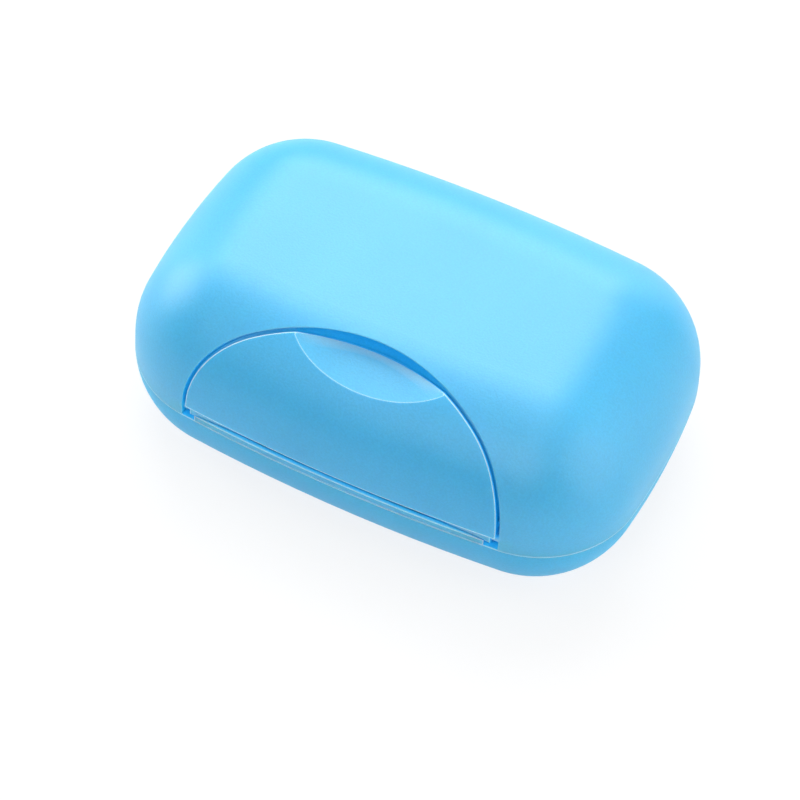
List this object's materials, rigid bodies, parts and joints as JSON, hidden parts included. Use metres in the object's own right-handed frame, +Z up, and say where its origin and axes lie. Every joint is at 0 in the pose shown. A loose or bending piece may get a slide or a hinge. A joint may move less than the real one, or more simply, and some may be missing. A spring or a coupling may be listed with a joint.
{
  "type": "travel soap box",
  "caption": "Rounded plastic travel soap box with a hinged domed lid, a front latch flap in an arched pocket, a seal ring and a lift-out drain rack",
  "frame": {"origin": "middle of the underside of the closed box, which is the bottom centre of its bounding box", "axes": "+X along the length, -Y towards the latch, +Z up"},
  "size_m": [0.12, 0.08, 0.045],
  "materials": {
    "base": "satin moulded polypropylene, light blue",
    "seal_ring": "milky silicone rubber",
    "drain_rack": "satin moulded polypropylene, milky white",
    "lid": "satin moulded polypropylene, light blue",
    "latch": "satin moulded polypropylene, light blue"
  },
  "bodies": {
    "base": {"base": "base", "seal_ring": "seal_ring"},
    "drain_rack": {"drain_rack": "drain_rack"},
    "lid": {"lid": "lid"},
    "latch": {"latch": "latch"}
  },
  "joints": [
    {"name": "lid_hinge", "type": "hinge", "parent": "base", "child": "lid", "pos_m": [0, 0.0384, 0.018], "axis": [-1, 0, 0], "range_deg": [0, 108]},
    {"name": "latch_hinge", "type": "hinge", "parent": "lid", "child": "latch", "pos_m": [0, -0.0365, 0.0199], "axis": [1, 0, 0], "range_deg": [0, 24]},
    {"name": "rack_lift", "type": "slide", "parent": "base", "child": "drain_rack", "axis": [0, 0, 1], "range_m": [0, 0.012]}
  ]
}
